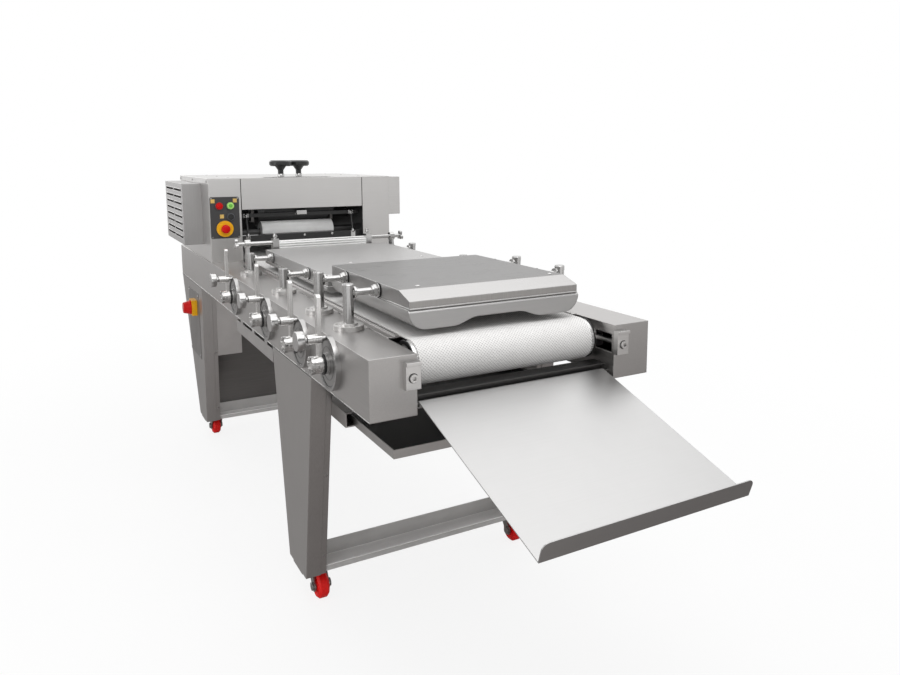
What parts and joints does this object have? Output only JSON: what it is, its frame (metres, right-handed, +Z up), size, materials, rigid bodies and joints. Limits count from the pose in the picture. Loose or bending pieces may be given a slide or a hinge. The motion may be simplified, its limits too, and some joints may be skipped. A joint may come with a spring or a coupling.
{
  "type": "baguette moulder",
  "caption": "Floor-standing baguette moulder on castors: belt conveyor between steel rails, sheeting head with rollers, lever-set pressure boards, catch tray and crumb tray.",
  "frame": {"origin": "on the floor below the middle of the bounding box", "axes": "+Y along the conveyor from the catch tray to the sheeting head, +Z up, -X the side of the levers"},
  "size_m": [0.88, 2.682, 1.1643],
  "materials": {
    "steel_satin": "satin",
    "steel_bright": "polished",
    "belt_white": "woven, matt",
    "pad_grey": "matt",
    "roller_white": "smooth",
    "curl_white": "smooth",
    "dark_steel": "satin",
    "tray_black": "satin",
    "box_grey": "satin",
    "motor_grey": "satin",
    "panel_dark": "matt",
    "knob_black": "gloss",
    "signal_red": "gloss",
    "signal_yellow": "gloss",
    "signal_green": "gloss",
    "wheel_red": "satin"
  },
  "bodies": {
    "frame": {"rail_left": "steel_satin", "rail_right": "steel_satin", "legs": "steel_satin", "lower_frame": "steel_satin", "rear_panel": "dark_steel", "electrical_box": "box_grey", "bed_plate": "steel_bright", "conveyor_belt": "belt_white", "belt_tensioners": "steel_satin", "tray_hanger": "steel_satin", "dial_discs": "steel_bright", "post_sockets": "steel_bright", "head_side_left": "steel_satin", "head_side_right": "steel_satin", "head_cover": "steel_satin", "left_guard": "steel_satin", "right_guard": "steel_satin", "control_panel": "panel_dark", "stop_collar": "signal_yellow", "switch_base": "signal_yellow", "roller_scrapers": "dark_steel", "curl_bar": "curl_white", "gear_motor": "motor_grey", "cover_screws": "steel_bright"},
    "front_board": {"front_board_shell": "steel_satin", "front_board_pad": "pad_grey", "front_posts": "steel_bright"},
    "rear_board": {"rear_board_shell": "steel_satin", "rear_board_pad": "pad_grey", "rear_posts": "steel_bright"},
    "front_drum": {"front_drum": "steel_bright"},
    "rear_drum": {"rear_drum": "steel_bright"},
    "lower_roller": {"lower_roller": "roller_white"},
    "upper_roller": {"upper_roller": "roller_white"},
    "roller_yoke": {"roller_yoke": "steel_satin"},
    "gap_knob_left": {"gap_knob_left": "knob_black"},
    "gap_knob_right": {"gap_knob_right": "knob_black"},
    "lever_1": {"lever_1": "steel_bright"},
    "lever_2": {"lever_2": "steel_bright"},
    "lever_3": {"lever_3": "steel_bright"},
    "lever_4": {"lever_4": "steel_bright"},
    "plunger_1": {"plunger_1": "steel_bright"},
    "plunger_2": {"plunger_2": "steel_bright"},
    "plunger_3": {"plunger_3": "steel_bright"},
    "plunger_4": {"plunger_4": "steel_bright"},
    "castor_fork_1": {"castor_fork_1": "steel_satin"},
    "castor_fork_2": {"castor_fork_2": "steel_satin"},
    "castor_fork_3": {"castor_fork_3": "steel_satin"},
    "castor_fork_4": {"castor_fork_4": "steel_satin"},
    "castor_wheel_1": {"castor_wheel_1": "wheel_red"},
    "castor_wheel_2": {"castor_wheel_2": "wheel_red"},
    "castor_wheel_3": {"castor_wheel_3": "wheel_red"},
    "castor_wheel_4": {"castor_wheel_4": "wheel_red"},
    "stop_button": {"stop_button": "signal_red"},
    "red_button": {"red_button": "signal_red"},
    "green_button": {"green_button": "signal_green"},
    "black_button": {"black_button": "knob_black"},
    "switch_handle": {"switch_handle": "signal_red"},
    "catch_tray": {"catch_tray": "steel_satin"},
    "crumb_tray": {"crumb_tray": "tray_black"}
  },
  "joints": [
    {"name": "rear_drum_spin", "type": "hinge", "parent": "frame", "child": "rear_drum", "pos_m": [0, 1.11704, 0.7417], "axis": [1, 0, 0], "continuous": true},
    {"name": "front_drum_spin", "type": "hinge", "parent": "frame", "child": "front_drum", "pos_m": [0, -0.81596, 0.7417], "axis": [1, 0, 0], "continuous": true},
    {"name": "lower_roller_spin", "type": "hinge", "parent": "frame", "child": "lower_roller", "pos_m": [0, 0.77204, 0.884], "axis": [1, 0, 0], "continuous": true},
    {"name": "roller_yoke_lift", "type": "slide", "parent": "frame", "child": "roller_yoke", "axis": [0, 0, 1], "range_m": [0, 0.012]},
    {"name": "upper_roller_spin", "type": "hinge", "parent": "roller_yoke", "child": "upper_roller", "pos_m": [0, 0.83521, 0.94088], "axis": [1, 0, 0], "continuous": true},
    {"name": "gap_knob_left_turn", "type": "hinge", "parent": "frame", "child": "gap_knob_left", "pos_m": [-0.044, 0.81021, 1.099], "axis": [0, 0, 1], "range_deg": [0, 360]},
    {"name": "gap_knob_right_turn", "type": "hinge", "parent": "frame", "child": "gap_knob_right", "pos_m": [0.044, 0.86021, 1.099], "axis": [0, 0, 1], "range_deg": [0, 360]},
    {"name": "rear_board_lift", "type": "slide", "parent": "frame", "child": "rear_board", "axis": [0, 0, 1], "range_m": [-0.0145, 0.029]},
    {"name": "front_board_lift", "type": "slide", "parent": "frame", "child": "front_board", "axis": [0, 0, 1], "range_m": [-0.0145, 0.029]},
    {"name": "lever_1_turn", "type": "hinge", "parent": "frame", "child": "lever_1", "pos_m": [0, 0.23504, 0.73], "axis": [1, 0, 0], "range_deg": [-30, 60]},
    {"name": "plunger_1_pull", "type": "slide", "parent": "lever_1", "child": "plunger_1", "axis": [-1, 0, 0], "range_m": [0, 0.008], "stiffness_N_per_m": 600},
    {"name": "lever_2_turn", "type": "hinge", "parent": "frame", "child": "lever_2", "pos_m": [0, -0.16096, 0.73], "axis": [1, 0, 0], "range_deg": [-30, 60]},
    {"name": "plunger_2_pull", "type": "slide", "parent": "lever_2", "child": "plunger_2", "axis": [-1, 0, 0], "range_m": [0, 0.008], "stiffness_N_per_m": 600},
    {"name": "lever_3_turn", "type": "hinge", "parent": "frame", "child": "lever_3", "pos_m": [0, -0.48296, 0.73], "axis": [1, 0, 0], "range_deg": [-30, 60]},
    {"name": "plunger_3_pull", "type": "slide", "parent": "lever_3", "child": "plunger_3", "axis": [-1, 0, 0], "range_m": [0, 0.008], "stiffness_N_per_m": 600},
    {"name": "lever_4_turn", "type": "hinge", "parent": "frame", "child": "lever_4", "pos_m": [0, -0.69496, 0.73], "axis": [1, 0, 0], "range_deg": [-30, 60]},
    {"name": "plunger_4_pull", "type": "slide", "parent": "lever_4", "child": "plunger_4", "axis": [-1, 0, 0], "range_m": [0, 0.008], "stiffness_N_per_m": 600},
    {"name": "castor_swivel_1", "type": "hinge", "parent": "frame", "child": "castor_fork_1", "pos_m": [-0.3075, -0.36596, 0.087], "axis": [0, 0, 1], "continuous": true},
    {"name": "castor_roll_1", "type": "hinge", "parent": "castor_fork_1", "child": "castor_wheel_1", "pos_m": [-0.3075, -0.39596, 0.035], "axis": [1, 0, 0], "continuous": true},
    {"name": "castor_swivel_2", "type": "hinge", "parent": "frame", "child": "castor_fork_2", "pos_m": [0.3075, -0.36596, 0.087], "axis": [0, 0, 1], "continuous": true},
    {"name": "castor_roll_2", "type": "hinge", "parent": "castor_fork_2", "child": "castor_wheel_2", "pos_m": [0.3075, -0.39596, 0.035], "axis": [1, 0, 0], "continuous": true},
    {"name": "castor_swivel_3", "type": "hinge", "parent": "frame", "child": "castor_fork_3", "pos_m": [-0.3075, 0.99004, 0.087], "axis": [0, 0, 1], "continuous": true},
    {"name": "castor_roll_3", "type": "hinge", "parent": "castor_fork_3", "child": "castor_wheel_3", "pos_m": [-0.3075, 1.02004, 0.035], "axis": [1, 0, 0], "continuous": true},
    {"name": "castor_swivel_4", "type": "hinge", "parent": "frame", "child": "castor_fork_4", "pos_m": [0.3075, 0.99004, 0.087], "axis": [0, 0, 1], "continuous": true},
    {"name": "castor_roll_4", "type": "hinge", "parent": "castor_fork_4", "child": "castor_wheel_4", "pos_m": [0.3075, 1.02004, 0.035], "axis": [1, 0, 0], "continuous": true},
    {"name": "stop_button_press", "type": "slide", "parent": "frame", "child": "stop_button", "axis": [0, 1, 0], "range_m": [0, 0.005]},
    {"name": "red_button_press", "type": "slide", "parent": "frame", "child": "red_button", "axis": [0, 1, 0], "range_m": [0, 0.004], "stiffness_N_per_m": 500},
    {"name": "green_button_press", "type": "slide", "parent": "frame", "child": "green_button", "axis": [0, 1, 0], "range_m": [0, 0.004], "stiffness_N_per_m": 500},
    {"name": "black_button_press", "type": "slide", "parent": "frame", "child": "black_button", "axis": [0, 1, 0], "range_m": [0, 0.004], "stiffness_N_per_m": 500},
    {"name": "main_switch_turn", "type": "hinge", "parent": "frame", "child": "switch_handle", "pos_m": [-0.36, 1.02704, 0.557], "axis": [-1, 0, 0], "range_deg": [0, 90]},
    {"name": "catch_tray_lift", "type": "hinge", "parent": "frame", "child": "catch_tray", "pos_m": [0, -0.88896, 0.671], "axis": [-1, 0, 0], "range_deg": [0, 45]},
    {"name": "crumb_tray_pull", "type": "slide", "parent": "frame", "child": "crumb_tray", "axis": [0, -1, 0], "range_m": [0, 0.25]}
  ],
  "couplings": [
    {"joint": "front_drum_spin", "follows": "rear_drum_spin", "ratio": 1},
    {"joint": "lower_roller_spin", "follows": "rear_drum_spin", "ratio": -1},
    {"joint": "upper_roller_spin", "follows": "rear_drum_spin", "ratio": 1},
    {"joint": "gap_knob_left_turn", "follows": "roller_yoke_lift", "rad_per_m": 523.55},
    {"joint": "gap_knob_right_turn", "follows": "roller_yoke_lift", "rad_per_m": 523.55},
    {"joint": "lever_1_turn", "follows": "rear_board_lift", "rad_per_m": 35.714},
    {"joint": "lever_2_turn", "follows": "rear_board_lift", "rad_per_m": 35.714},
    {"joint": "lever_3_turn", "follows": "front_board_lift", "rad_per_m": 35.714},
    {"joint": "lever_4_turn", "follows": "front_board_lift", "rad_per_m": 35.714}
  ]
}
